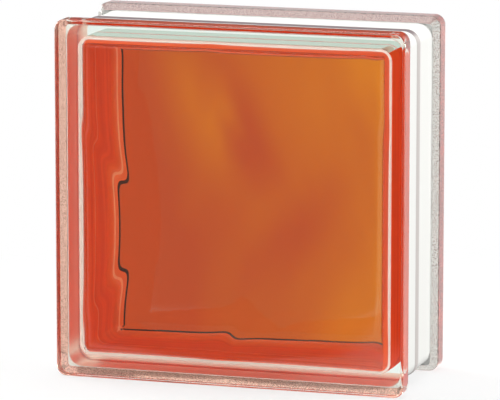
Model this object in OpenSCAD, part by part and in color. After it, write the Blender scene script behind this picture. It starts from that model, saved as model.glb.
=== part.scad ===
// Hollow glass block for walls and windows.
// Two pressed glass halves are fused along a seam round the middle into one sealed body.
// Each face plate overhangs the body as a bevelled flange, so a mortar channel runs round all four edges.
// The inner side of each face carries low ridges that meander up the block.
// The block stands on one edge: X is its width, Y its depth with the front at -Y, Z its height.

/* [Block] */
// Width and height of the square face
block_width = 190; // [150:1:300]
// Depth from the front face to the rear face
block_depth = 80; // [70:1:120]

/* [Flanges] */
// Thickness of the overhanging flange at its outer edge
flange_edge = 10.2; // [8:0.2:12]
// Thickness of the flange at its root on the channel's floor
flange_root = 14.4; // [13:0.2:17]
// Radius of the flange's four outer corners
flange_corner = 5.5; // [5:0.5:8]
// Rounding of the edge between the face and the flange
face_edge_radius = 1.2; // [0.4:0.2:3]
// Rounding of the edge between the flange's outer strip and its bevel
flange_back_radius = 1.2; // [0.4:0.2:2]

/* [Mortar channel] */
// Depth of the channel below the flange's outer edge
channel_depth = 4; // [3:0.5:4.5]
// Radius of the cove between the channel's floor and the flange's bevel
channel_cove = 2; // [0.5:0.5:3]
// Radius of the body's corners, seen in the channel
channel_corner = 7; // [6:0.5:12]

/* [Fused seam] */
// Width of the bead where the two halves are fused
bead_width = 8; // [4:0.5:12]
// Height of the bead on the outside
bead_height = 0.8; // [0.3:0.1:1]
// Width of the bead inside the cavity
inner_bead_width = 4; // [2:0.5:6]
// Height of the bead inside the cavity
inner_bead_height = 0.5; // [0.2:0.1:1.5]

/* [Cavity] */
// Thickness of each face plate between the ridges
face_thickness = 10; // [8:0.5:14]
// Thickness of the side walls at the seam
wall_thickness = 5.5; // [4:0.5:8]
// Draft of the pressed side walls, in degrees
wall_draft = 0.5; // [0:0.25:3]
// Reach of the fillet between a face and the side walls, along the face
cavity_fillet = 8; // [4:0.5:10]
// Reach of the same fillet along the walls
fillet_depth = 6.5; // [3:0.5:10]
// Radius of the cavity's corners at the seam
cavity_corner = 6.5; // [5:0.5:12]
// Least radius of the crease where two fillets meet in a corner
crease_radius = 0.8; // [0.4:0.1:2]

/* [Wave relief] */
// Height of a ridge above the face
ridge_height = 1.3; // [0.4:0.1:3]
// Half the width of a ridge at seven tenths of its height
ridge_width = 4.4; // [2:0.2:6]
// Distance from one ridge to the next
wave_length = 84; // [60:1:120]
// How far a ridge swings to either side
wave_swing = 22; // [0:1:30]
// Height of one full swing
swing_length = 170; // [120:1:240]
// Middle of the first ridge's swing, from the middle of the face
crest_x = -74; // [-80:1:-40]
// Height of its swing to the right, from the middle of the face
crest_y = -14; // [-60:1:60]

/* [Hidden] */
$fn = 64;
half_width = block_width / 2;
half_depth = block_depth / 2;
body_half = half_width - channel_depth;
root_height = half_depth - flange_root;
bevel_angle = atan2(flange_root - flange_edge, channel_depth);
bead_radius = (pow(bead_width / 2, 2) + pow(bead_height, 2)) / (2 * bead_height);
cavity_half = body_half - wall_thickness;
cavity_depth = half_depth - face_thickness;
draft_inset = (cavity_depth - fillet_depth) * tan(wall_draft);
face_half = cavity_half - draft_inset;
panel_half = face_half - cavity_fillet;
panel_corner = max(crease_radius, cavity_corner - cavity_fillet);
// Steps of the cavity's surface
corner_steps = 3;
side_steps = 22;
fillet_steps = 4;
cap_steps = 16;
bead_steps = 2;
ring_points = 4 * (corner_steps + side_steps);

// A body with rounded corners: its 2D section stands on the edge of a square and is swept round it.
// The section reads $inner, how far it has to reach inwards from the line of the corner centres.
module swept_square(half, corner) {
    reach = half - corner;
    for (turn = [0 : 90 : 270])
        rotate(turn)
            translate([reach, reach, 0])
                rotate_extrude(angle = 90)
                    let ($inner = 0) children();
    for (turn = [0 : 90 : 270])
        rotate([90, 0, turn])
            linear_extrude(2 * reach, center = true)
                translate([reach, 0])
                    let ($inner = reach) children();
}

// What lies between a corner and the circle that rounds it.
// The corner's two sides leave it at the angles first and second; the part runs on a little past both sides.
module corner_part(first, second, radius) {
    spread = (second - first) / 2;
    middle = radius / sin(spread) * [cos(first + spread), sin(first + spread)];
    near = radius / tan(spread) * [cos(first), sin(first)];
    far = radius / tan(spread) * [cos(second), sin(second)];
    difference() {
        polygon([middle, near, 2.5 * near - 1.5 * middle, 2.5 * far - 1.5 * middle, far]);
        translate(middle) circle(radius);
    }
}

// Section of one face plate with its bevelled flange, above the seam
module flange_section() {
    difference() {
        polygon([
            [-$inner, root_height],
            [flange_corner - channel_depth, root_height],
            [flange_corner, half_depth - flange_edge],
            [flange_corner, half_depth],
            [-$inner, half_depth]
        ]);
        translate([flange_corner, half_depth])
            corner_part(180, 270, face_edge_radius);
        translate([flange_corner, half_depth - flange_edge])
            corner_part(90, 180 + bevel_angle, flange_back_radius);
    }
}

// Section of the body between the flanges, with a cove at each flange and the bead along the seam
module body_section() {
    core_half = root_height + flange_root / 2;
    translate([-$inner, -core_half])
        square([$inner + channel_corner, 2 * core_half]);
    for (side = [0, 1])
        mirror([0, side])
            translate([channel_corner, root_height])
                corner_part(-90, bevel_angle, channel_cove);
    intersection() {
        translate([channel_corner + bead_height - bead_radius, 0]) circle(bead_radius);
        translate([0, -bead_width]) square([2 * channel_corner, 2 * bead_width]);
    }
}

// Where the ridge nearest to a point of the face runs, at that point's height
function crest(x, y) =
    let (first = crest_x + wave_swing * cos(360 * (y - crest_y) / swing_length))
    first + wave_length * round((x - first) / wave_length);

// Rise of the face at a point: narrow crests whose hollow flanks run out flat
function relief(x, y) = ridge_height / sqrt(1 + pow((x - crest(x, y)) / ridge_width, 2));

// Outline of a square with rounded corners
function rounded_ring(half, corner) = [
    for (turn = [0 : 3])
        let (centre = half - corner,
             c = cos(90 * turn),
             s = sin(90 * turn),
             arc = [for (i = [0 : corner_steps])
                 [centre + corner * cos(90 * i / corner_steps), centre + corner * sin(90 * i / corner_steps)]],
             side = [for (i = [1 : side_steps - 1]) [centre * (1 - 2 * i / side_steps), half]])
        for (p = concat(arc, side))
            [c * p.x - s * p.y, s * p.x + c * p.y]
];

// One ring of the cavity's surface: it takes up a share of the relief of the face on its side
function cavity_ring(half, corner, height, share, side) = [
    for (p = rounded_ring(half, corner))
        [p.x, p.y, side * (height - share * relief(side * p.x, p.y))]
];

// Rings of one half of the cavity, from next to the middle of its face down to the seam
function half_cavity(side) = concat(
    [for (i = [1 : cap_steps])
        let (share = i / cap_steps)
        cavity_ring(panel_half * share, panel_corner * share, cavity_depth, 1, side)],
    [for (i = [1 : fillet_steps])
        let (angle = 90 * i / fillet_steps,
             inset = cavity_fillet * (1 - sin(angle)))
        cavity_ring(face_half - inset, max(crease_radius, cavity_corner - inset),
                    cavity_depth - fillet_depth * (1 - cos(angle)), cos(angle), side)],
    [for (i = [0 : bead_steps - 1])
        let (share = i / bead_steps,
             rise = inner_bead_height * (1 - cos(180 * share)) / 2)
        cavity_ring(cavity_half - rise, cavity_corner, inner_bead_width / 2 * (1 - share), 0, side)]
);

function ring_index(ring, i) = 1 + ring * ring_points + i % ring_points;

// The sealed hollow between the two faces, with the ridges left standing
module cavity() {
    front = half_cavity(1);
    rear = half_cavity(-1);
    seam = [cavity_ring(cavity_half - inner_bead_height, cavity_corner, 0, 0, 1)];
    rings = concat(front, seam, [for (i = [len(rear) - 1 : -1 : 0]) rear[i]]);
    last = len(rings) - 1;
    front_pole = [0, 0, cavity_depth - relief(0, 0)];
    points = concat([front_pole], [for (ring = rings) each ring], [[0, 0, -front_pole.z]]);
    polyhedron(points, concat(
        [for (i = [0 : ring_points - 1]) [0, ring_index(0, i + 1), ring_index(0, i)]],
        [for (r = [0 : last - 1]) for (i = [0 : ring_points - 1])
            each [[ring_index(r, i), ring_index(r, i + 1), ring_index(r + 1, i + 1)],
                  [ring_index(r, i), ring_index(r + 1, i + 1), ring_index(r + 1, i)]]],
        [for (i = [0 : ring_points - 1]) [len(points) - 1, ring_index(last, i), ring_index(last, i + 1)]]
    ));
}

// The whole block of glass, standing on its lower edge
module glass_block() {
    color([0.82, 0.36, 0.14, 0.8])
        translate([0, 0, half_width])
            rotate([90, 0, 0])
                difference() {
                    union() {
                        for (side = [0, 1])
                            mirror([0, 0, side])
                                swept_square(half_width, flange_corner) flange_section();
                        swept_square(body_half, channel_corner) body_section();
                    }
                    cavity();
                }
}

glass_block();
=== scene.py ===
"""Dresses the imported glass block.

Clear pressed glass, orange coats in its cavity and a white coat in its mortar channel, in a pale studio.
"""

import logging
import math
from dataclasses import dataclass
from enum import Enum

import bmesh
import bpy
from mathutils import Matrix, Vector

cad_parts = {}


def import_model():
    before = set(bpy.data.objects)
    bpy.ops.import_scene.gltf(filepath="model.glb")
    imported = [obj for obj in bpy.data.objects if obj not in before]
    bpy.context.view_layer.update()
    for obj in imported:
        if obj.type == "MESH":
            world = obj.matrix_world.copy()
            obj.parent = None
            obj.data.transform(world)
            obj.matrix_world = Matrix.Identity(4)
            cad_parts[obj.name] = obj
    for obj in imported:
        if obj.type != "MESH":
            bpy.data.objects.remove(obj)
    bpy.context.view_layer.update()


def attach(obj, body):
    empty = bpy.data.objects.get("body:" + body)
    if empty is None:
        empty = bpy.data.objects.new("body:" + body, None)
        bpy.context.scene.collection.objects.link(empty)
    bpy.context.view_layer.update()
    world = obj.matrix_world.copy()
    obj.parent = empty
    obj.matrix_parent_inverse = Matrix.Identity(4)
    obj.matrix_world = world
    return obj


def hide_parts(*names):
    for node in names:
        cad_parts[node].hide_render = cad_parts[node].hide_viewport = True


LOG = logging.getLogger("glass_block")
MM = 0.001

# Sockets of the Mix node, whose names repeat: factor, numbers, colours, and the colour that it gives
FACTOR = 0
NUMBER_A = 2
NUMBER_B = 3
COLOUR_A = 6
COLOUR_B = 7
COLOUR_OUT = 2

Span = tuple[float, float]
Place = tuple[float, float, float]


class Zone(Enum):
    """Surfaces of the block that are finished differently, in the order of their material slots."""

    CLEAR = 0  # Both outer faces, the front inner face and part of the front flange's strip
    FLANGE = 1  # Bevels of the flanges
    CHANNEL = 2  # Floor of the mortar channel
    WALL = 3  # Walls of the cavity
    PANEL = 4  # Rear inner face
    LOOSE = 5  # Front part of the cavity's upper wall
    SHADE_LINE = 6  # Dark line of painted shade round the rear inner face
    SEAM = 7  # Bead along the seam, in the channel
    EDGE = 8  # Outer strips: the rear flange's, and the front one's at the left and below
    RIM = 9  # Fillet round the front inner face, and the bead on the upper wall
    HIGHLIGHT_LINE = 10  # Light line of painted highlight beside the dark one, at the left
    GRIT = 11  # Rounding between the rear flange's strip and its bevel


def linear(hex_colour: str) -> tuple[float, float, float, float]:
    """Turns an sRGB hex colour into linear RGBA.

    Args:
        hex_colour: Colour such as "#d24b1e".

    Returns:
        The linear red, green, blue and an alpha of one.
    """
    shares = [int(hex_colour[i : i + 2], 16) / 255 for i in (1, 3, 5)]
    red, green, blue = (s / 12.92 if s <= 0.04045 else ((s + 0.055) / 1.055) ** 2.4 for s in shares)
    return red, green, blue, 1.0


def add_node(
    tree: bpy.types.NodeTree,
    kind: str,
    settings: dict[str | int, object] | None = None,
    links: dict[str | int, bpy.types.NodeSocket] | None = None,
) -> bpy.types.Node:
    """Adds a node with its settings and links.

    Args:
        tree: Node tree that takes the node.
        kind: Blender's identifier of the node.
        settings: Values by input name or number, or by the node's own property where it has no such input.
        links: Sockets that feed the node's inputs, by input name or number.

    Returns:
        The new node.
    """
    node = tree.nodes.new(kind)
    for name, value in (settings or {}).items():
        if isinstance(name, int) or name in node.inputs:
            node.inputs[name].default_value = value
        else:
            setattr(node, name, value)
    for name, socket in (links or {}).items():
        tree.links.new(socket, node.inputs[name])
    return node


def new_material(name: str) -> tuple[bpy.types.Material, bpy.types.NodeTree, bpy.types.Node]:
    """Makes an empty node material.

    Args:
        name: The material's name.

    Returns:
        The material, its node tree and its output node.
    """
    material = bpy.data.materials.new(name)
    material.use_nodes = True
    material.node_tree.nodes.clear()
    return material, material.node_tree, add_node(material.node_tree, "ShaderNodeOutputMaterial")


def facing_up(tree: bpy.types.NodeTree, normal: bpy.types.NodeSocket, lean: Span) -> bpy.types.NodeSocket:
    """Adds how far a surface faces up.

    Args:
        tree: Node tree of the material.
        normal: The way the surface faces.
        lean: Upward parts of the normal at which it begins to count and counts in full.

    Returns:
        A share from 0 to 1.
    """
    start, full = lean
    parts = add_node(tree, "ShaderNodeSeparateXYZ", {}, {"Vector": normal})
    share = add_node(
        tree,
        "ShaderNodeMapRange",
        {"interpolation_type": "SMOOTHSTEP", "From Min": start, "From Max": full},
        {"Value": parts.outputs["Z"]},
    )
    return share.outputs["Result"]


def glass_surface(
    tree: bpy.types.NodeTree,
    ior: float,
    haze: float,
    tints: tuple[bpy.types.NodeSocket, bpy.types.NodeSocket],
    normal: dict[str | int, bpy.types.NodeSocket],
) -> bpy.types.NodeSocket:
    """Adds a surface of glass that mirrors light in one colour and passes it in another.

    Args:
        tree: Node tree of the material.
        ior: Index of the glass.
        haze: Roughness of the surface.
        tints: Colours of the light that is mirrored and of the light that passes.
        normal: Link for an uneven surface, or nothing for an even one.

    Returns:
        The shader.
    """
    mirrored, passed = tints
    share = add_node(tree, "ShaderNodeFresnel", {"IOR": ior}, normal)
    mirror = add_node(
        tree, "ShaderNodeBsdfAnisotropic", {"Roughness": haze}, {"Color": mirrored, **normal}
    )
    clear = add_node(
        tree, "ShaderNodeBsdfRefraction", {"Roughness": haze, "IOR": ior}, {"Color": passed, **normal}
    )
    both = add_node(
        tree,
        "ShaderNodeMixShader",
        {},
        {FACTOR: share.outputs["Fac"], 1: clear.outputs["BSDF"], 2: mirror.outputs["BSDF"]},
    )
    return both.outputs["Shader"]


@dataclass(frozen=True)
class ClearGlass:
    """Soda-lime glass, pressed and fire-polished: clear, faintly green, with a soft unevenness."""

    name: str = "soda_lime_glass_pressed"
    colour: str = "#eefaf3"
    ior: float = 1.52
    gloss: float = 0.15
    ripple_mm: float = 26.0
    ripple_depth_mm: float = 0.2
    ripple_strength: float = 0.2

    def make(self) -> bpy.types.Material:
        """Builds the material.

        Returns:
            The material.
        """
        material, tree, out = new_material(self.name)
        where = add_node(tree, "ShaderNodeTexCoord")
        ripple = add_node(
            tree,
            "ShaderNodeTexNoise",
            {"Scale": 1 / (self.ripple_mm * MM), "Detail": 1.0},
            {"Vector": where.outputs["Object"]},
        )
        bump = add_node(
            tree,
            "ShaderNodeBump",
            {"Strength": self.ripple_strength, "Distance": self.ripple_depth_mm * MM},
            {"Height": ripple.outputs["Fac"]},
        )
        glass = add_node(
            tree,
            "ShaderNodeBsdfPrincipled",
            {
                "Base Color": linear(self.colour),
                "Roughness": 0.0,
                "IOR": self.ior,
                "Specular IOR Level": self.gloss,
                "Transmission Weight": 1.0,
            },
            {"Normal": bump.outputs["Normal"]},
        )
        tree.links.new(glass.outputs["BSDF"], out.inputs["Surface"])
        return material


@dataclass(frozen=True)
class FrostedGlass:
    """Soda-lime glass as the mould leaves it on the flange: a sandy frost that scatters light."""

    name: str
    colour: str = "#e2dcd9"
    speck: str = "#b0a39e"
    # Multiplied in where the surface faces up: painted shade with a painted pink glow, darker and pinker on
    # top
    upper: str | None = "#e0c4c2"
    upper_lean: Span = (0.4, 0.6)
    # Seen from within: pink, a painted glow of the light from the red walls
    back: str = "#f2bfb0"
    painted_glow_speck: str = "#bc8a7e"
    ior: float = 1.52
    haze: float = 0.08
    # The real grain is finer. It is drawn this coarse so that it shows.
    grain_mm: float = 0.6
    grain_depth_mm: float = 0.05
    grain_strength: float = 0.2
    speck_edge: Span = (0.5, 0.3)

    def tints(
        self, tree: bpy.types.NodeTree, grain: bpy.types.NodeSocket, side: bpy.types.Node
    ) -> tuple[bpy.types.NodeSocket, bpy.types.NodeSocket]:
        """Adds the speckled colours, which differ on the two sides of the surface: from within they are
        pink, a painted glow of the light from the red walls, and outside, painted shade darkens them where
        the surface faces up.

        Args:
            tree: Node tree of the material.
            grain: Distance from the middle of the nearest grain.
            side: Geometry node, which tells the two sides apart.

        Returns:
            The colours of the light that is mirrored and of the light that passes.
        """
        start, full = self.speck_edge
        speck = add_node(
            tree,
            "ShaderNodeMapRange",
            {"interpolation_type": "SMOOTHSTEP", "From Min": start, "From Max": full},
            {"Value": grain},
        )
        outside = add_node(
            tree,
            "ShaderNodeMix",
            {"data_type": "RGBA", COLOUR_A: linear(self.colour), COLOUR_B: linear(self.speck)},
            {FACTOR: speck.outputs["Result"]},
        ).outputs[COLOUR_OUT]
        # From within: a painted pink glow of the light from the red walls
        inside = add_node(
            tree,
            "ShaderNodeMix",
            {"data_type": "RGBA", COLOUR_A: linear(self.back), COLOUR_B: linear(self.painted_glow_speck)},
            {FACTOR: speck.outputs["Result"]},
        ).outputs[COLOUR_OUT]
        # Painted shade and pink glow, darker and pinker, where the surface faces up
        if self.upper:
            outside = add_node(
                tree,
                "ShaderNodeMix",
                {"data_type": "RGBA", "blend_type": "MULTIPLY", COLOUR_B: linear(self.upper)},
                {FACTOR: facing_up(tree, side.outputs["Normal"], self.upper_lean), COLOUR_A: outside},
            ).outputs[COLOUR_OUT]
        mirrored = add_node(
            tree,
            "ShaderNodeMix",
            {"data_type": "RGBA", COLOUR_A: linear("#ffffff")},
            {FACTOR: side.outputs["Backfacing"], COLOUR_B: inside},
        )
        passed = add_node(
            tree,
            "ShaderNodeMix",
            {"data_type": "RGBA"},
            {FACTOR: side.outputs["Backfacing"], COLOUR_A: outside, COLOUR_B: inside},
        )
        return mirrored.outputs[COLOUR_OUT], passed.outputs[COLOUR_OUT]

    def make(self) -> bpy.types.Material:
        """Builds the material.

        Returns:
            The material.
        """
        material, tree, out = new_material(self.name)
        where = add_node(tree, "ShaderNodeTexCoord")
        side = add_node(tree, "ShaderNodeNewGeometry")
        grain = add_node(
            tree,
            "ShaderNodeTexVoronoi",
            {"Scale": 1 / (self.grain_mm * MM)},
            {"Vector": where.outputs["Object"]},
        )
        bump = add_node(
            tree,
            "ShaderNodeBump",
            {"Strength": self.grain_strength, "Distance": self.grain_depth_mm * MM},
            {"Height": grain.outputs["Distance"]},
        )
        tints = self.tints(tree, grain.outputs["Distance"], side)
        frost = glass_surface(tree, self.ior, self.haze, tints, {"Normal": bump.outputs["Normal"]})
        tree.links.new(frost, out.inputs["Surface"])
        return material


@dataclass(frozen=True)
class KeyCoat:
    """White key coat in the channel, which mortar grips: matt outside, a soft mirror from within."""

    name: str
    colour: str = "#f5f5f1"
    # Mixed in where the coat faces up: painted shade
    upper: str | None = None
    upper_lean: Span = (0.5, 0.9)
    roughness: float = 0.75
    gloss: float = 0.2
    sheen: str = "#ffeadb"
    through: float = 0.2
    mirrored: float = 0.92
    slant: Span = (0.42, 0.75)
    haze: float = 0.4
    # The real grit is finer. It is drawn this coarse so that it shows.
    grit_mm: float = 0.8
    grit_depth_mm: float = 0.2
    grit_strength: float = 0.3

    def inside(self, tree: bpy.types.NodeTree) -> bpy.types.NodeSocket:
        """Adds the coat as it is seen through the glass, lit from outside and mirroring at a low angle.

        Args:
            tree: Node tree of the material.

        Returns:
            The shader.
        """
        rear = add_node(tree, "ShaderNodeBsdfDiffuse", {"Color": linear(self.colour)})
        glow = add_node(tree, "ShaderNodeBsdfTranslucent", {"Color": linear(self.colour)})
        lit = add_node(
            tree,
            "ShaderNodeMixShader",
            {FACTOR: self.through},
            {1: rear.outputs["BSDF"], 2: glow.outputs["BSDF"]},
        )
        mirror = add_node(
            tree, "ShaderNodeBsdfAnisotropic", {"Color": linear(self.sheen), "Roughness": self.haze}
        )
        start, full = self.slant
        slant = add_node(tree, "ShaderNodeLayerWeight", {"Blend": 0.5})
        share = add_node(
            tree,
            "ShaderNodeMapRange",
            {
                "interpolation_type": "SMOOTHSTEP",
                "From Min": start,
                "From Max": full,
                "To Max": self.mirrored,
            },
            {"Value": slant.outputs["Facing"]},
        )
        inside = add_node(
            tree,
            "ShaderNodeMixShader",
            {},
            {FACTOR: share.outputs["Result"], 1: lit.outputs["Shader"], 2: mirror.outputs["BSDF"]},
        )
        return inside.outputs["Shader"]

    def make(self) -> bpy.types.Material:
        """Builds the material.

        Returns:
            The material.
        """
        material, tree, out = new_material(self.name)
        where = add_node(tree, "ShaderNodeTexCoord")
        side = add_node(tree, "ShaderNodeNewGeometry")
        grit = add_node(
            tree,
            "ShaderNodeTexNoise",
            {"Scale": 1 / (self.grit_mm * MM), "Detail": 3.0},
            {"Vector": where.outputs["Object"]},
        )
        bump = add_node(
            tree,
            "ShaderNodeBump",
            {"Strength": self.grit_strength, "Distance": self.grit_depth_mm * MM},
            {"Height": grit.outputs["Fac"]},
        )
        coat = add_node(
            tree,
            "ShaderNodeBsdfPrincipled",
            {
                "Base Color": linear(self.colour),
                "Roughness": self.roughness,
                "Specular IOR Level": self.gloss,
            },
            {"Normal": bump.outputs["Normal"]},
        )
        # Painted shade where the coat faces up
        if self.upper:
            outer = add_node(
                tree,
                "ShaderNodeMix",
                {"data_type": "RGBA", COLOUR_A: linear(self.colour), COLOUR_B: linear(self.upper)},
                {FACTOR: facing_up(tree, side.outputs["Normal"], self.upper_lean)},
            )
            tree.links.new(outer.outputs[COLOUR_OUT], coat.inputs["Base Color"])
        both = add_node(
            tree,
            "ShaderNodeMixShader",
            {},
            {FACTOR: side.outputs["Backfacing"], 1: coat.outputs["BSDF"], 2: self.inside(tree)},
        )
        tree.links.new(both.outputs["Shader"], out.inputs["Surface"])
        return material


@dataclass(frozen=True)
class Run:
    """One soft run of lacquer on the rear face: its middle, lean, reach and how much thicker it lies."""

    x_mm: float
    z_mm: float
    lean_deg: float
    half_width_mm: float
    half_length_mm: float
    thickness: float


@dataclass(frozen=True)
class OrangeCoat:
    """Transparent orange lacquer in soft clouds: amber where it ran thin, russet where it lies thick."""

    name: str
    thin: str
    thick: str
    back: str
    ior: float = 1.52
    half_face_mm: float = 85.0
    left_level: float = 0.82
    right_level: float = 0.24
    height_mm: float = 190.0
    foot_level: float = 0.06
    top_level: float = -0.1
    cloud_mm: float = 55.0
    cloud_lean_deg: float = -22.0
    cloud_stretch: float = 0.45
    cloud_share: float = 0.5
    shake_mm: float = 30.0
    # Far more than the block's depth, so that a run depends on the place across and up alone
    run_depth_mm: float = 1.0e6
    runs: tuple[Run, ...] = (
        Run(-24, 152, 21, 20, 62, -0.31),
        Run(2, 142, 26, 18, 66, 0.24),
        Run(34, 160, 8, 30, 56, -0.16),
        Run(32, 84, -38, 22, 62, 0.23),
        Run(66, 46, -28, 30, 60, -0.3),
        Run(86, 100, 0, 14, 120, -0.25),
        Run(78, 176, 30, 34, 44, -0.4),
    )

    def stir(self, tree: bpy.types.NodeTree, place: bpy.types.NodeSocket) -> bpy.types.NodeSocket:
        """Adds the runs up to one thickness.

        Args:
            tree: Node tree of the material.
            place: Place on the part, already shaken a little.

        Returns:
            How much thicker or thinner the runs make the lacquer.
        """
        total = None
        for run in self.runs:
            own = add_node(
                tree,
                "ShaderNodeMapping",
                {
                    "vector_type": "TEXTURE",
                    "Location": (run.x_mm * MM, 0, run.z_mm * MM),
                    "Rotation": (0, -math.radians(run.lean_deg), 0),
                    "Scale": (run.half_width_mm * MM, self.run_depth_mm * MM, run.half_length_mm * MM),
                },
                {"Vector": place},
            )
            blob = add_node(
                tree,
                "ShaderNodeTexGradient",
                {"gradient_type": "SPHERICAL"},
                {"Vector": own.outputs["Vector"]},
            )
            soft = add_node(
                tree,
                "ShaderNodeMapRange",
                {"interpolation_type": "SMOOTHSTEP", "To Max": run.thickness},
                {"Value": blob.outputs["Fac"]},
            )
            if total is None:
                total = soft.outputs["Result"]
                continue
            total = add_node(
                tree, "ShaderNodeMath", {"operation": "ADD"}, {0: total, 1: soft.outputs["Result"]}
            ).outputs[0]
        return total

    def slope(self, tree: bpy.types.NodeTree, place: bpy.types.NodeSocket) -> bpy.types.NodeSocket:
        """Adds a gradient that makes the rear face darker and redder at the left and at the foot, and
        lighter amber at the right and at the top.

        Args:
            tree: Node tree of the material.
            place: Place on the part.

        Returns:
            The thickness before clouds and runs.
        """
        parts = add_node(tree, "ShaderNodeSeparateXYZ", {}, {"Vector": place})
        across = add_node(
            tree,
            "ShaderNodeMapRange",
            {
                "clamp": False,
                "From Min": -self.half_face_mm * MM,
                "From Max": self.half_face_mm * MM,
                "To Min": self.left_level,
                "To Max": self.right_level,
            },
            {"Value": parts.outputs["X"]},
        )
        up = add_node(
            tree,
            "ShaderNodeMapRange",
            {
                "clamp": False,
                "From Min": 0.0,
                "From Max": self.height_mm * MM,
                "To Min": self.foot_level,
                "To Max": self.top_level,
            },
            {"Value": parts.outputs["Z"]},
        )
        total = add_node(
            tree, "ShaderNodeMath", {"operation": "ADD"}, {0: across.outputs[0], 1: up.outputs[0]}
        )
        return total.outputs[0]

    def thickness(self, tree: bpy.types.NodeTree) -> bpy.types.NodeSocket:
        """Adds the lacquer's thickness, from the gradient across and up the face, its clouds and its runs.

        Args:
            tree: Node tree of the material.

        Returns:
            The thickness, from thin at 0 to thick at 1.
        """
        place = add_node(tree, "ShaderNodeTexCoord").outputs["Object"]
        turned = add_node(
            tree,
            "ShaderNodeMapping",
            {
                "Rotation": (0, math.radians(self.cloud_lean_deg), 0),
                "Scale": (1.0, 1.0, self.cloud_stretch),
            },
            {"Vector": place},
        )
        cloud = add_node(
            tree,
            "ShaderNodeTexNoise",
            {"Scale": 1 / (self.cloud_mm * MM), "Detail": 4.0, "Roughness": 0.5, "Distortion": 0.6},
            {"Vector": turned.outputs["Vector"]},
        )
        shake = self.shake_mm * MM
        shaken = add_node(
            tree,
            "ShaderNodeVectorMath",
            {"operation": "MULTIPLY_ADD", 1: (shake, shake, shake)},
            {0: cloud.outputs["Color"], 2: place},
        )
        level = add_node(
            tree,
            "ShaderNodeMath",
            {"operation": "ADD"},
            {0: self.slope(tree, place), 1: self.stir(tree, shaken.outputs["Vector"])},
        )
        total = add_node(
            tree,
            "ShaderNodeMath",
            {"operation": "MULTIPLY_ADD", 1: self.cloud_share},
            {0: cloud.outputs["Fac"], 2: level.outputs[0]},
        )
        return total.outputs[0]

    def make(self) -> bpy.types.Material:
        """Builds the material.

        Returns:
            The material.
        """
        material, tree, out = new_material(self.name)
        colour = add_node(
            tree,
            "ShaderNodeMix",
            {
                "data_type": "RGBA",
                "clamp_factor": True,
                COLOUR_A: linear(self.thin),
                COLOUR_B: linear(self.thick),
            },
            {FACTOR: self.thickness(tree)},
        )
        side = add_node(tree, "ShaderNodeNewGeometry")
        mirrored = add_node(
            tree,
            "ShaderNodeMix",
            {"data_type": "RGBA", COLOUR_A: linear("#ffffff"), COLOUR_B: linear(self.back)},
            {FACTOR: side.outputs["Backfacing"]},
        )
        tints = mirrored.outputs[COLOUR_OUT], colour.outputs[COLOUR_OUT]
        tree.links.new(glass_surface(tree, self.ior, 0.0, tints, {}), out.inputs["Surface"])
        return material


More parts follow.
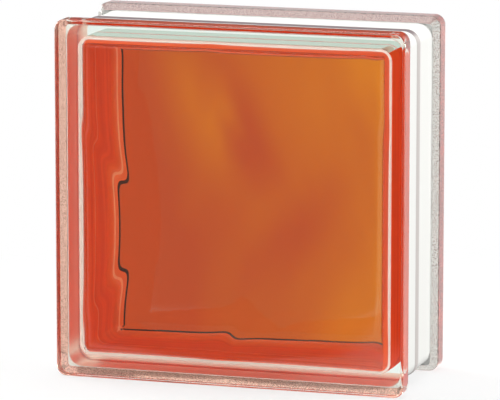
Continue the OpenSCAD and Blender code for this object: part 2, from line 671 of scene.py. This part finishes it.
@dataclass(frozen=True)
class WallEnamel:
    """The same orange where it pooled on the walls: opaque, glossy, orange-red.

    Where it is loose, the glass over it mirrors, and the painted reflection share swaps part of that mirror
    for a flat diffuse copy of its colour, a painted reflection.
    """

    name: str
    loose: bool = False
    colour: str = "#f66022"
    streak: str = "#de4f1a"
    # A lighter line along the seam: a painted highlight on its bead
    bead: str = "#ff9a68"
    glow: str = "#fd703c"
    mirrored: str = "#dcebdf"
    through: float = 0.4
    roughness: float = 0.12
    ior: float = 1.52
    gap_ior: float = 1.42
    painted_reflection_share: float = 0.0
    streak_mm: float = 5.0
    streak_length_mm: float = 120.0
    streak_edge: Span = (0.4, 0.65)
    seam_highlight_mm: float = 1.0

    def streaks(self, tree: bpy.types.NodeTree) -> bpy.types.NodeSocket:
        """Adds the enamel's colour: streaks drawn round the cavity and a lighter line along the seam, a
        painted highlight on its bead.

        Args:
            tree: Node tree of the material.

        Returns:
            The colour.
        """
        where = add_node(tree, "ShaderNodeTexCoord")
        along, across = 1 / (self.streak_length_mm * MM), 1 / (self.streak_mm * MM)
        drawn = add_node(
            tree,
            "ShaderNodeMapping",
            {"Scale": (along, across, along)},
            {"Vector": where.outputs["Object"]},
        )
        flow = add_node(
            tree, "ShaderNodeTexNoise", {"Scale": 1.0, "Detail": 2.0}, {"Vector": drawn.outputs["Vector"]}
        )
        start, full = self.streak_edge
        lines = add_node(
            tree,
            "ShaderNodeMapRange",
            {"interpolation_type": "SMOOTHSTEP", "From Min": start, "From Max": full},
            {"Value": flow.outputs["Fac"]},
        )
        streaked = add_node(
            tree,
            "ShaderNodeMix",
            {"data_type": "RGBA", COLOUR_A: linear(self.colour), COLOUR_B: linear(self.streak)},
            {FACTOR: lines.outputs["Result"]},
        )
        # The lighter line along the seam: a painted highlight on its bead
        place = add_node(tree, "ShaderNodeSeparateXYZ", {}, {"Vector": where.outputs["Object"]})
        off = add_node(tree, "ShaderNodeMath", {"operation": "ABSOLUTE"}, {0: place.outputs["Y"]})
        seam = add_node(
            tree,
            "ShaderNodeMapRange",
            {"interpolation_type": "SMOOTHSTEP", "From Min": self.seam_highlight_mm * MM, "From Max": 0.0},
            {"Value": off.outputs[0]},
        )
        colour = add_node(
            tree,
            "ShaderNodeMix",
            {"data_type": "RGBA", COLOUR_B: linear(self.bead)},
            {FACTOR: seam.outputs["Result"], COLOUR_A: streaked.outputs[COLOUR_OUT]},
        )
        return colour.outputs[COLOUR_OUT]

    def gap(self, tree: bpy.types.NodeTree) -> bpy.types.NodeSocket:
        """Adds the mirror of the glass over loose enamel, and its painted reflection.

        Args:
            tree: Node tree of the material.

        Returns:
            The shader.
        """
        mirror = add_node(
            tree, "ShaderNodeBsdfAnisotropic", {"Color": linear(self.mirrored), "Roughness": 0.0}
        )
        # A flat diffuse copy of the mirror's colour: a painted reflection
        painted_reflection = add_node(tree, "ShaderNodeBsdfDiffuse", {"Color": linear(self.mirrored)})
        gap = add_node(
            tree,
            "ShaderNodeMixShader",
            {FACTOR: self.painted_reflection_share},
            {1: mirror.outputs["BSDF"], 2: painted_reflection.outputs["BSDF"]},
        )
        return gap.outputs["Shader"]

    def make(self) -> bpy.types.Material:
        """Builds the material.

        Returns:
            The material.
        """
        material, tree, out = new_material(self.name)
        side = add_node(tree, "ShaderNodeNewGeometry")
        colour = self.streaks(tree)
        film = add_node(
            tree,
            "ShaderNodeBsdfPrincipled",
            {"Roughness": self.roughness, "IOR": self.ior},
            {"Base Color": colour},
        )
        bonded = add_node(tree, "ShaderNodeBsdfDiffuse", {}, {"Color": colour})
        faced = add_node(
            tree,
            "ShaderNodeMixShader",
            {},
            {FACTOR: side.outputs["Backfacing"], 1: film.outputs["BSDF"], 2: bonded.outputs["BSDF"]},
        )
        glow = add_node(tree, "ShaderNodeBsdfTranslucent", {"Color": linear(self.glow)})
        enamel = add_node(
            tree,
            "ShaderNodeMixShader",
            {FACTOR: self.through},
            {1: faced.outputs["Shader"], 2: glow.outputs["BSDF"]},
        )
        if not self.loose:
            tree.links.new(enamel.outputs["Shader"], out.inputs["Surface"])
            return material
        share = add_node(tree, "ShaderNodeFresnel", {"IOR": self.gap_ior})
        under = add_node(
            tree,
            "ShaderNodeMath",
            {"operation": "MULTIPLY"},
            {0: share.outputs[0], 1: side.outputs["Backfacing"]},
        )
        both = add_node(
            tree,
            "ShaderNodeMixShader",
            {},
            {FACTOR: under.outputs[0], 1: enamel.outputs["Shader"], 2: self.gap(tree)},
        )
        tree.links.new(both.outputs["Shader"], out.inputs["Surface"])
        return material


Finish = ClearGlass | FrostedGlass | KeyCoat | OrangeCoat | WallEnamel


@dataclass(frozen=True)
class Station:
    """One ring of a skin: a rounded square at a height above the seam, with a share of the relief."""

    half: float
    corner: float
    height: float
    zone: Zone
    share: float = 0.0


@dataclass
class GlassBlock:
    """The hollow block, in millimetres: a half with its face up, doubled about the seam and stood up."""

    name: str = "glass_block_body"
    width: float = 190.0
    depth: float = 80.0
    flange_edge: float = 10.2
    flange_root: float = 14.4
    flange_corner: float = 5.5
    face_edge_radius: float = 1.2
    flange_back_radius: float = 1.2
    channel_depth: float = 4.0
    channel_cove: float = 2.0
    channel_corner: float = 7.0
    bead_width: float = 8.0
    bead_height: float = 0.8
    inner_bead_height: float = 0.5
    inner_bead_width: float = 4.0
    face_thickness: float = 10.0
    wall_thickness: float = 5.5
    wall_draft: float = 0.5
    cavity_fillet: float = 8.0
    fillet_depth: float = 6.5
    cavity_corner: float = 6.5
    crease_radius: float = 0.8
    ridge_height: float = 1.3
    # Wider than in the solids, so that lines seen through the front face bend in smooth steps
    ridge_width: float = 7.0
    wave_length: float = 84.0
    wave_swing: float = 22.0
    swing_length: float = 170.0
    crest_x: float = -74.0
    crest_y: float = -14.0

    # Steps of the rounded edges, and the grids of the outer and inner faces
    edge_steps: int = 8
    back_steps: int = 6
    cove_steps: int = 8
    bead_steps: int = 6
    fillet_steps: int = 12
    wall_steps: int = 6
    inner_bead_steps: int = 8
    face_cells: int = 48
    face_arc: float = 0.3
    cavity_cells: int = 140
    cavity_arc: float = 0.12

    # Where one finish ends and the next begins.
    # A painted shade line's span is counted from the panel's edge, and the painted highlight line's from
    # the end of the shade line.
    coat_climb: float = 0.08
    coated_bead_rings: int = 2
    bare_depth: float = 62.0
    rim_reach: float = 3.4
    panel_margin: float = 1.6
    lower_shade_line: Span = (2.2, 3.0)
    side_shade_line: Span = (0.2, 1.5)
    highlight_span: Span = (1.3, 2.4)
    slack: float = 0.01

    def outline(self, u: float, v: float, half: float, corner: float, arc: float) -> tuple[float, float]:
        """Places a point of the unit square on a rounded square of the same middle.

        Args:
            u: First coordinate in the unit square, from -1 to 1.
            v: Second coordinate in the unit square, from -1 to 1.
            half: Half the rounded square's width.
            corner: Its corner radius.
            arc: Share of a half side, from the corner, that lies on the corner's arc.

        Returns:
            The point's place.
        """
        reach = max(abs(u), abs(v))
        if reach < 1e-9:
            return 0.0, 0.0
        if abs(u) >= abs(v):
            along, across = v / reach, math.copysign(1, u)
        else:
            along, across = u / reach, math.copysign(1, v)
        straight = half - corner
        if abs(along) <= 1 - arc:
            first, second = half, straight * along / (1 - arc)
        else:
            angle = math.radians(45) * (abs(along) - (1 - arc)) / arc
            first = straight + corner * math.cos(angle)
            second = math.copysign(straight + corner * math.sin(angle), along)
        first *= across
        x, y = (first, second) if abs(u) >= abs(v) else (second, first)
        return x * reach, y * reach

    def relief(self, x: float, y: float) -> float:
        """Measures a half's inner face: narrow crests whose hollow flanks run out flat.

        Args:
            x: Place across the face.
            y: Place up the face.

        Returns:
            The rise of the face at that point.
        """
        turn = 2 * math.pi * (y - self.crest_y) / self.swing_length
        crest = self.crest_x + self.wave_swing * math.cos(turn)
        crest += self.wave_length * round((x - crest) / self.wave_length)
        return self.ridge_height / math.hypot(1, (x - crest) / self.ridge_width)

    def flange_stations(self, floor: float, fall: float) -> list[Station]:
        """Lists the rings of a flange, from the edge of the face to the foot of the bevel.

        Args:
            floor: Half the width across the channel's floor.
            fall: Slope of the bevel, in radians.

        Returns:
            The rings, in order.
        """
        half, face = self.width / 2, self.depth / 2
        edge, rear = self.face_edge_radius, self.flange_back_radius
        rings = []
        for i in range(self.edge_steps + 1):
            a = math.radians(90 * i / self.edge_steps)
            inset = edge * (1 - math.sin(a))
            height = face - edge * (1 - math.cos(a))
            rings.append(Station(half - inset, self.flange_corner - inset, height, Zone.CLEAR))
        turn = math.pi / 2 - fall
        centre = face - self.flange_edge + rear * math.tan(turn / 2)
        for i in range(self.back_steps + 1):
            a = turn * i / self.back_steps
            inset = rear * (1 - math.cos(a))
            corner = self.flange_corner - inset
            rings.append(Station(half - inset, corner, centre - rear * math.sin(a), Zone.EDGE))
        climb = self.channel_depth * self.coat_climb
        corner = self.flange_corner - self.channel_depth + climb
        height = face - self.flange_root + climb * math.tan(fall)
        rings.append(Station(floor + climb, corner, height, Zone.FLANGE))
        return rings

    def outer_stations(self) -> list[Station]:
        """Lists the rings of a half's outer skin.

        Returns:
            The rings, from the edge of the face down to the seam.
        """
        floor = self.width / 2 - self.channel_depth
        fall = math.atan2(self.flange_root - self.flange_edge, self.channel_depth)
        rings = self.flange_stations(floor, fall)
        turn = math.pi / 2 - fall
        centre = self.depth / 2 - self.flange_root - self.channel_cove * math.tan(turn / 2)
        for i in range(self.cove_steps + 1):
            a = turn * (1 - i / self.cove_steps)
            rise = self.channel_cove * (1 - math.cos(a))
            height = centre + self.channel_cove * math.sin(a)
            rings.append(Station(floor + rise, self.channel_corner + rise, height, Zone.CHANNEL))
        radius = ((self.bead_width / 2) ** 2 + self.bead_height**2) / (2 * self.bead_height)
        for i in range(self.bead_steps + 1):
            height = self.bead_width / 2 * (1 - i / self.bead_steps)
            rise = math.sqrt(radius**2 - height**2) - radius + self.bead_height
            zone = Zone.CHANNEL if i < self.coated_bead_rings else Zone.SEAM
            rings.append(Station(floor + rise, self.channel_corner + rise, height, zone))
        return rings

    def cavity_half(self) -> float:
        """Returns half the cavity's width at the seam, without its bead."""
        return self.width / 2 - self.channel_depth - self.wall_thickness

    def cavity_stations(self) -> list[Station]:
        """Lists the rings of a half's cavity.

        Returns:
            The rings, from the edge of the wavy face down to the seam.
        """
        top = self.depth / 2 - self.face_thickness
        seam = self.cavity_half()
        bead = self.inner_bead_width / 2
        inset = (top - self.fillet_depth) * math.tan(math.radians(self.wall_draft))
        face = seam - inset
        rings = []
        for i in range(self.fillet_steps + 1):
            a = math.radians(90 * i / self.fillet_steps)
            half = face - self.cavity_fillet * (1 - math.sin(a))
            height = top - self.fillet_depth * (1 - math.cos(a))
            corner = max(self.crease_radius, self.cavity_corner - face + half)
            rings.append(Station(half, corner, height, Zone.CLEAR, math.cos(a)))
        for i in range(1, self.wall_steps + 1):
            share = i / self.wall_steps
            height = (top - self.fillet_depth) * (1 - share) + bead * share
            rings.append(Station(face + inset * share, self.cavity_corner, height, Zone.WALL))
        for i in range(1, self.inner_bead_steps + 1):
            share = i / self.inner_bead_steps
            rise = self.inner_bead_height * (1 - math.cos(math.pi * share)) / 2
            rings.append(Station(seam - rise, self.cavity_corner, bead * (1 - share), Zone.WALL))
        return rings

    def settle(
        self,
        verts: list[bmesh.types.BMVert],
        plan: bmesh.types.BMLayerItem,
        station: Station,
        arc: float,
    ) -> None:
        """Puts vertices on a station, by their places in the unit square.

        Args:
            verts: Vertices to place.
            plan: Layer that holds their places in the unit square.
            station: Ring that they belong to.
            arc: Share of a half side that lies on a corner's arc.
        """
        for vert in verts:
            u, v, _ = vert[plan]
            x, y = self.outline(u, v, station.half, station.corner, arc)
            lift = station.share * self.relief(x, y) if station.share else 0.0
            vert.co = Vector((x, y, station.height - lift))

    def skin(self, bm: bmesh.types.BMesh, stations: list[Station], cells: int, arc: float) -> None:
        """Adds one skin of a half: a face as a grid, then its edge drawn out ring by ring.

        Args:
            bm: Mesh that takes the skin.
            stations: Rings, the first of them round the face.
            cells: Cells of the grid along a side.
            arc: Share of a half side that lies on a corner's arc.
        """
        plan = bm.verts.layers.float_vector.get("plan") or bm.verts.layers.float_vector.new("plan")
        made = bmesh.ops.create_grid(bm, x_segments=cells, y_segments=cells, size=1)["verts"]
        for vert in made:
            vert[plan] = vert.co
        faces = {f for v in made for f in v.link_faces}
        edges = [e for e in {e for f in faces for e in f.edges} if e.is_boundary]
        self.settle(made, plan, stations[0], arc)
        for face in faces:
            face.material_index = stations[0].zone.value
        for station in stations[1:]:
            drawn = bmesh.ops.extrude_edge_only(bm, edges=edges)["geom"]
            self.settle([g for g in drawn if isinstance(g, bmesh.types.BMVert)], plan, station, arc)
            for face in (g for g in drawn if isinstance(g, bmesh.types.BMFace)):
                face.material_index = station.zone.value
            edges = [g for g in drawn if isinstance(g, bmesh.types.BMEdge) and g.is_boundary]

    def turn_out(self, bm: bmesh.types.BMesh, faces: list[bmesh.types.BMFace], up: bool) -> None:
        """Turns a skin's faces so that they look out of the glass.

        Args:
            bm: Mesh that holds the skin.
            faces: The skin's faces.
            up: Whether the skin looks up on the whole.
        """
        bmesh.ops.recalc_face_normals(bm, faces=faces)
        looks = sum(f.normal.z * f.calc_area() for f in faces)
        if (looks < 0) == up:
            bmesh.ops.reverse_faces(bm, faces=faces)

    def shape(self, bm: bmesh.types.BMesh) -> None:
        """Adds both halves of the block, stood up about its middle.

        Args:
            bm: Mesh that takes them.
        """
        self.skin(bm, self.outer_stations(), self.face_cells, self.face_arc)
        outer = set(bm.faces)
        self.skin(bm, self.cavity_stations(), self.cavity_cells, self.cavity_arc)
        inner = [f for f in bm.faces if f not in outer]
        self.turn_out(bm, list(outer), up=True)
        self.turn_out(bm, inner, up=False)
        stand = Matrix.Rotation(math.radians(90), 4, "X")
        bmesh.ops.transform(bm, matrix=stand, verts=bm.verts)
        half = list(bm.verts) + list(bm.edges) + list(bm.faces)
        twin = bmesh.ops.duplicate(bm, geom=half)["geom"]
        rear_verts = [g for g in twin if isinstance(g, bmesh.types.BMVert)]
        about = Matrix.Rotation(math.pi, 3, "Z")
        bmesh.ops.rotate(bm, verts=rear_verts, cent=(0, 0, 0), matrix=about)

    def flange_zone(self, place: Vector) -> Zone:
        """Sorts a face of a flange's outer strip or of the rounding behind it.

        Args:
            place: Middle of the face, from the middle of the block.

        Returns:
            The face's zone.
        """
        strip_end = self.flange_edge - self.flange_back_radius / 2 - self.depth / 2
        if place.y > 0:
            return Zone.GRIT if place.y < -strip_end else Zone.EDGE
        if place.y > strip_end:
            return Zone.FLANGE
        left_or_below = max(-place.x, -place.z) > max(place.x, place.z)
        return Zone.EDGE if left_or_below else Zone.CLEAR

    def rear_zone(self, place: Vector, reach: float, edge: float) -> Zone:
        """Sorts a face of the rear inner face or of the fillet round it.

        Args:
            place: Middle of the face, from the middle of the block.
            reach: The larger of its distances across and up from the middle.
            edge: The same distance at the panel's edge.

        Returns:
            The face's zone.
        """
        # Round the panel runs a dark line of painted shade; at the left, beside it, a light line of painted
        # highlight
        start, stop = self.lower_shade_line if -place.z > abs(place.x) else self.side_shade_line
        if reach <= edge + start:
            return Zone.PANEL
        if reach <= edge + stop:
            return Zone.SHADE_LINE
        near, far = self.highlight_span
        at_left = reach == -place.x
        return Zone.HIGHLIGHT_LINE if at_left and edge + stop + near < reach < edge + stop + far else Zone.WALL

    def sort_faces(self, bm: bmesh.types.BMesh) -> None:
        """Gives the faces whose finish depends on where they lie their zones.

        Args:
            bm: Mesh of the block, stood up about its middle.
        """
        cavity = self.cavity_half() + self.slack
        for face in bm.faces:
            zone = Zone(face.material_index)
            place = face.calc_center_median()
            reach = max(abs(place.x), abs(place.z))
            within = reach <= cavity and abs(place.y) < (self.depth - self.face_thickness) / 2
            if zone is Zone.EDGE:
                zone = self.flange_zone(place)
            elif within and zone is Zone.CLEAR and place.y > 0:
                zone = self.rear_zone(place, reach, cavity - self.cavity_fillet + self.panel_margin)
            elif within and zone is Zone.CLEAR and reach > cavity - self.rim_reach:
                zone = Zone.RIM
            bare = place.z > abs(place.x) and place.y + self.depth / 2 < self.bare_depth
            if zone is Zone.WALL and bare:
                zone = Zone.RIM if abs(place.y) < self.inner_bead_width / 2 else Zone.LOOSE
            face.material_index = zone.value

    def finishes(self) -> dict[Zone, Finish]:
        """Lists the finishes.

        Returns:
            The finish of each zone.
        """
        return {
            # Clear and faintly green, so that the eye goes through to the colours within
            Zone.CLEAR: ClearGlass(),
            # A pale sandy frost, with painted shade and a painted pink glow that make it darker and pinker
            # where it faces up
            Zone.FLANGE: FrostedGlass("soda_lime_glass_frosted"),
            # Flat white outside, and a soft warm mirror from within
            Zone.CHANNEL: KeyCoat("white_key_coat"),
            # Glossy orange-red with faint streaks, lit through from outside
            Zone.WALL: WallEnamel("orange_enamel"),
            # Amber to russet in soft clouds and runs, with the light behind it
            Zone.PANEL: OrangeCoat("orange_lacquer_thin", thin="#ff8a16", thick="#d84e22", back="#f4602a"),
            # Duller red under a pale-green mirror
            Zone.LOOSE: WallEnamel(
                "orange_enamel_loose",
                loose=True,
                gap_ior=1.04,
                colour="#d0532f",
                streak="#be4628",
                glow="#d4664a",
                mirrored="#d8e0d9",
            ),
            # A dark brown line of painted shade round the rear inner face
            Zone.SHADE_LINE: OrangeCoat("orange_lacquer_painted_shade_line", thin="#a83a14", thick="#4a1c0c", back="#7a2a10"),
            # A grey line of painted shade on the seam bead, with more painted shade on top
            Zone.SEAM: KeyCoat("seam_key_coat_painted_shade", colour="#d2cbc8", upper="#8a7c7e"),
            # A rough strip with dark specks, tinted salmon by a painted glow of the orange light from
            # within
            Zone.EDGE: FrostedGlass(
                "soda_lime_glass_sanded",
                colour="#dcb6ac",
                speck="#6a4e46",
                back="#f8e4dc",
                painted_glow_speck="#cfb0a4",
                haze=0.5,
            ),
            # A white line round the front of the cavity: a mirror, and a painted white reflection in its
            # flat diffuse share
            Zone.RIM: WallEnamel("orange_enamel_rim", loose=True, mirrored="#fff2ec", painted_reflection_share=0.6),
            # A lighter orange line of painted highlight beside the dark one
            Zone.HIGHLIGHT_LINE: WallEnamel("orange_enamel_painted_highlight", colour="#ff9058", streak="#fc7c44", glow="#ff9264"),
            # A dark speckled line, its grain again drawn coarser than it is
            Zone.GRIT: FrostedGlass(
                "soda_lime_glass_gritty",
                colour="#b09a92",
                speck="#3a2a26",
                upper=None,
                grain_mm=1.1,
                haze=0.3,
            ),
        }

    def dress(self, body: bpy.types.Object) -> None:
        """Gives the block its finishes and even shading.

        Args:
            body: The block's mesh object.
        """
        finishes = self.finishes()
        for zone in Zone:
            body.data.materials.append(finishes[zone].make())
        normals = body.modifiers.new("face_normals", "WEIGHTED_NORMAL")
        normals.keep_sharp = False

    def build(self) -> bpy.types.Object:
        """Builds and dresses the block.

        Returns:
            The finished mesh object, in metres and standing on its lower edge.
        """
        bm = bmesh.new()
        self.shape(bm)
        self.sort_faces(bm)
        bmesh.ops.remove_doubles(bm, verts=bm.verts, dist=1e-4)
        bmesh.ops.translate(bm, verts=bm.verts, vec=(0, 0, self.width / 2))
        bmesh.ops.scale(bm, verts=bm.verts, vec=(MM, MM, MM))
        for face in bm.faces:
            face.smooth = True
        mesh = bpy.data.meshes.new(self.name)
        bm.to_mesh(mesh)
        bm.free()
        body = bpy.data.objects.new(self.name, mesh)
        bpy.context.scene.collection.objects.link(body)
        self.dress(body)
        return body


@dataclass(frozen=True)
class Softbox:
    """One square lamp that is aimed at the block: its place and size in metres, its power in watts."""

    name: str
    place: Place
    size: float
    power: float


@dataclass(frozen=True)
class Studio:
    """Pale floor, soft light and the camera, in metres."""

    camera_place: Place = (0.69299, -2.20358, 0.50889)
    camera_aim: Place = (-0.0003, 0.0, 0.0924)
    lens_mm: float = 320.6
    sensor_mm: float = 36.0
    # The room is dimmer on the side that the block's front faces, from a little way ahead of the middle
    dim_side: Place = (-0.25, -0.97, 0.0)
    dim_edge: Span = (0.7, 0.9)
    dim_start: Span = (-0.025, -0.038)
    dim_level: float = 0.2
    # A dark flag behind the block, seen in mirrored light alone
    flag_side: Place = (-0.3, 0.93, 0.2)
    flag_edge: Span = (0.84, 0.94)
    flag_level: float = 0.12
    # Strength of the room on matt surfaces, and on those that it lights through the glass
    fill: float = 0.3
    inner: float = 2.3
    paper: str = "#f7f7f7"
    floor_half: float = 20.0
    floor_fade: Span = (0.1, 0.35)
    floor_glow: float = 0.7
    lamp_aim: Place = (0.0, 0.0, 0.095)
    lamps: tuple[Softbox, ...] = (
        Softbox("right_softbox", (1.75, 0.3, 0.8), 1.0, 27.0),
        Softbox("top_softbox", (-0.2, 0.1, 1.9), 1.4, 16.0),
        Softbox("left_softbox", (-1.6, 0.5, 0.6), 1.0, 26.0),
    )

    def camera(self) -> None:
        """Puts the camera where the photograph was taken from."""
        data = bpy.data.cameras.new("camera")
        data.lens = self.lens_mm
        data.sensor_width = self.sensor_mm
        data.clip_end = 100.0
        camera = bpy.data.objects.new("camera", data)
        camera.location = self.camera_place
        towards = Vector(self.camera_aim) - camera.location
        camera.rotation_euler = towards.to_track_quat("-Z", "Y").to_euler()
        bpy.context.scene.collection.objects.link(camera)
        bpy.context.scene.camera = camera

    def dimmed(
        self, tree: bpy.types.NodeTree, towards: bpy.types.NodeSocket, unit: bpy.types.NodeSocket
    ) -> bpy.types.NodeSocket:
        """Adds the room's own brightness: white, but dim on the side that the block's front faces.

        Args:
            tree: Node tree of the world or of the floor.
            towards: Direction, or a place on the floor seen from the middle.
            unit: The same, brought to a length of one.

        Returns:
            The brightness, as one number.
        """
        facing = add_node(
            tree, "ShaderNodeVectorMath", {"operation": "DOT_PRODUCT", 1: self.dim_side}, {0: unit}
        )
        ahead = add_node(tree, "ShaderNodeSeparateXYZ", {}, {"Vector": towards})
        start, full = self.dim_start
        near = add_node(
            tree,
            "ShaderNodeMapRange",
            {"interpolation_type": "SMOOTHSTEP", "From Min": start, "From Max": full},
            {"Value": ahead.outputs["Y"]},
        )
        frontal = add_node(
            tree,
            "ShaderNodeMath",
            {"operation": "MULTIPLY"},
            {0: facing.outputs["Value"], 1: near.outputs["Result"]},
        )
        start, full = self.dim_edge
        room = add_node(
            tree,
            "ShaderNodeMapRange",
            {
                "interpolation_type": "SMOOTHSTEP",
                "From Min": start,
                "From Max": full,
                "To Min": 1.0,
                "To Max": self.dim_level,
            },
            {"Value": frontal.outputs["Value"]},
        )
        return room.outputs["Result"]

    def flagged(
        self, tree: bpy.types.NodeTree, unit: bpy.types.NodeSocket, path: bpy.types.Node
    ) -> bpy.types.NodeSocket:
        """Adds the dark flag behind the block.

        Args:
            tree: Node tree of the world or of the floor.
            unit: Direction, with a length of one.
            path: Light Path node, which tells mirrored light from the rest.

        Returns:
            The share of the room's brightness that the flag leaves.
        """
        away = add_node(
            tree, "ShaderNodeVectorMath", {"operation": "DOT_PRODUCT", 1: self.flag_side}, {0: unit}
        )
        start, full = self.flag_edge
        behind = add_node(
            tree,
            "ShaderNodeMapRange",
            {
                "interpolation_type": "SMOOTHSTEP",
                "From Min": start,
                "From Max": full,
                "To Min": 1.0,
                "To Max": self.flag_level,
            },
            {"Value": away.outputs["Value"]},
        )
        mirrored = add_node(
            tree,
            "ShaderNodeMath",
            {"operation": "SUBTRACT"},
            {0: path.outputs["Is Glossy Ray"], 1: path.outputs["Is Transmission Ray"]},
        )
        left = add_node(
            tree,
            "ShaderNodeMix",
            {"data_type": "FLOAT", "clamp_factor": True, NUMBER_A: 1.0},
            {FACTOR: mirrored.outputs[0], NUMBER_B: behind.outputs["Result"]},
        )
        return left.outputs[0]

    def surround(self, tree: bpy.types.NodeTree, towards: bpy.types.NodeSocket) -> bpy.types.NodeSocket:
        """Adds how bright the room is in a direction, for each kind of ray.

        Args:
            tree: Node tree of the world or of the floor.
            towards: Direction, or a place on the floor seen from the middle.

        Returns:
            The brightness, as one number.
        """
        path = add_node(tree, "ShaderNodeLightPath")
        unit = add_node(tree, "ShaderNodeVectorMath", {"operation": "NORMALIZE"}, {0: towards})
        direction = unit.outputs["Vector"]
        shown = add_node(
            tree,
            "ShaderNodeMath",
            {"operation": "MULTIPLY"},
            {0: self.dimmed(tree, towards, direction), 1: self.flagged(tree, direction, path)},
        )
        softer = add_node(
            tree,
            "ShaderNodeMix",
            {"data_type": "FLOAT", NUMBER_A: 1.0, NUMBER_B: self.fill},
            {FACTOR: path.outputs["Is Diffuse Ray"]},
        )
        lit = add_node(
            tree, "ShaderNodeMath", {"operation": "MULTIPLY"}, {0: shown.outputs[0], 1: softer.outputs[0]}
        )
        under = add_node(
            tree,
            "ShaderNodeMath",
            {"operation": "MINIMUM"},
            {0: path.outputs["Is Transmission Ray"], 1: path.outputs["Diffuse Depth"]},
        )
        inner = add_node(
            tree,
            "ShaderNodeMix",
            {"data_type": "FLOAT", NUMBER_B: self.inner},
            {FACTOR: under.outputs[0], NUMBER_A: lit.outputs[0]},
        )
        seen = add_node(
            tree,
            "ShaderNodeMix",
            {"data_type": "FLOAT", NUMBER_B: 1.0},
            {FACTOR: path.outputs["Is Camera Ray"], NUMBER_A: inner.outputs[0]},
        )
        return seen.outputs[0]

    def world(self) -> None:
        """Fills the room with soft white light."""
        world = bpy.data.worlds.new("studio")
        bpy.context.scene.world = world
        world.use_nodes = True
        tree = world.node_tree
        tree.nodes.clear()
        where = add_node(tree, "ShaderNodeTexCoord")
        light = add_node(
            tree,
            "ShaderNodeBackground",
            {"Color": linear("#ffffff")},
            {"Strength": self.surround(tree, where.outputs["Generated"])},
        )
        add_node(tree, "ShaderNodeOutputWorld", {}, {"Surface": light.outputs[0]})

    def white_paper(self) -> bpy.types.Material:
        """Builds the floor's paper: white, with a soft shadow near the block that fades into the room.

        Returns:
            The material.
        """
        material, tree, out = new_material("white_paper")
        paper = add_node(tree, "ShaderNodeBsdfDiffuse", {"Color": linear(self.paper)})
        where = add_node(tree, "ShaderNodeTexCoord")
        far = add_node(tree, "ShaderNodeVectorMath", {"operation": "LENGTH"}, {0: where.outputs["Object"]})
        start, full = self.floor_fade
        fade = add_node(
            tree,
            "ShaderNodeMapRange",
            {
                "interpolation_type": "SMOOTHSTEP",
                "From Min": start,
                "From Max": full,
                "To Min": self.floor_glow,
            },
            {"Value": far.outputs["Value"]},
        )
        path = add_node(tree, "ShaderNodeLightPath")
        share = add_node(
            tree,
            "ShaderNodeMix",
            {"data_type": "FLOAT", NUMBER_A: 1.0},
            {FACTOR: path.outputs["Is Camera Ray"], NUMBER_B: fade.outputs["Result"]},
        )
        white = add_node(
            tree,
            "ShaderNodeEmission",
            {"Color": linear("#ffffff")},
            {"Strength": self.surround(tree, where.outputs["Object"])},
        )
        ground = add_node(
            tree,
            "ShaderNodeMixShader",
            {},
            {FACTOR: share.outputs[0], 1: paper.outputs[0], 2: white.outputs[0]},
        )
        tree.links.new(ground.outputs[0], out.inputs["Surface"])
        return material

    def floor(self) -> None:
        """Lays the pale floor, which runs out into the white of the room."""
        mesh = bpy.data.meshes.new("floor")
        bm = bmesh.new()
        bmesh.ops.create_grid(bm, x_segments=1, y_segments=1, size=self.floor_half)
        bm.to_mesh(mesh)
        bm.free()
        floor = bpy.data.objects.new("floor", mesh)
        bpy.context.scene.collection.objects.link(floor)
        mesh.materials.append(self.white_paper())

    def light(self) -> None:
        """Hangs the softboxes."""
        for softbox in self.lamps:
            data = bpy.data.lights.new(softbox.name, "AREA")
            data.size = softbox.size
            data.energy = softbox.power
            lamp = bpy.data.objects.new(softbox.name, data)
            lamp.location = softbox.place
            towards = Vector(self.lamp_aim) - lamp.location
            lamp.rotation_euler = towards.to_track_quat("-Z", "Y").to_euler()
            bpy.context.scene.collection.objects.link(lamp)


def main() -> None:
    """Builds the studio and the block, and reports each piece."""
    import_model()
    scene = bpy.context.scene
    scene.view_settings.view_transform = "Standard"
    # Light crosses the four skins of the glass several times before it is spent
    scene.cycles.max_bounces = 24
    scene.cycles.transmission_bounces = 24
    scene.cycles.glossy_bounces = 20
    studio = Studio()
    studio.camera()
    studio.world()
    studio.floor()
    studio.light()
    body = GlassBlock().build()
    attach(body, "root")
    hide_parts("glass_block")
    LOG.info("%s: %d faces", body.name, len(body.data.polygons))


if __name__ == "__main__":
    logging.basicConfig(level=logging.INFO)
    main()
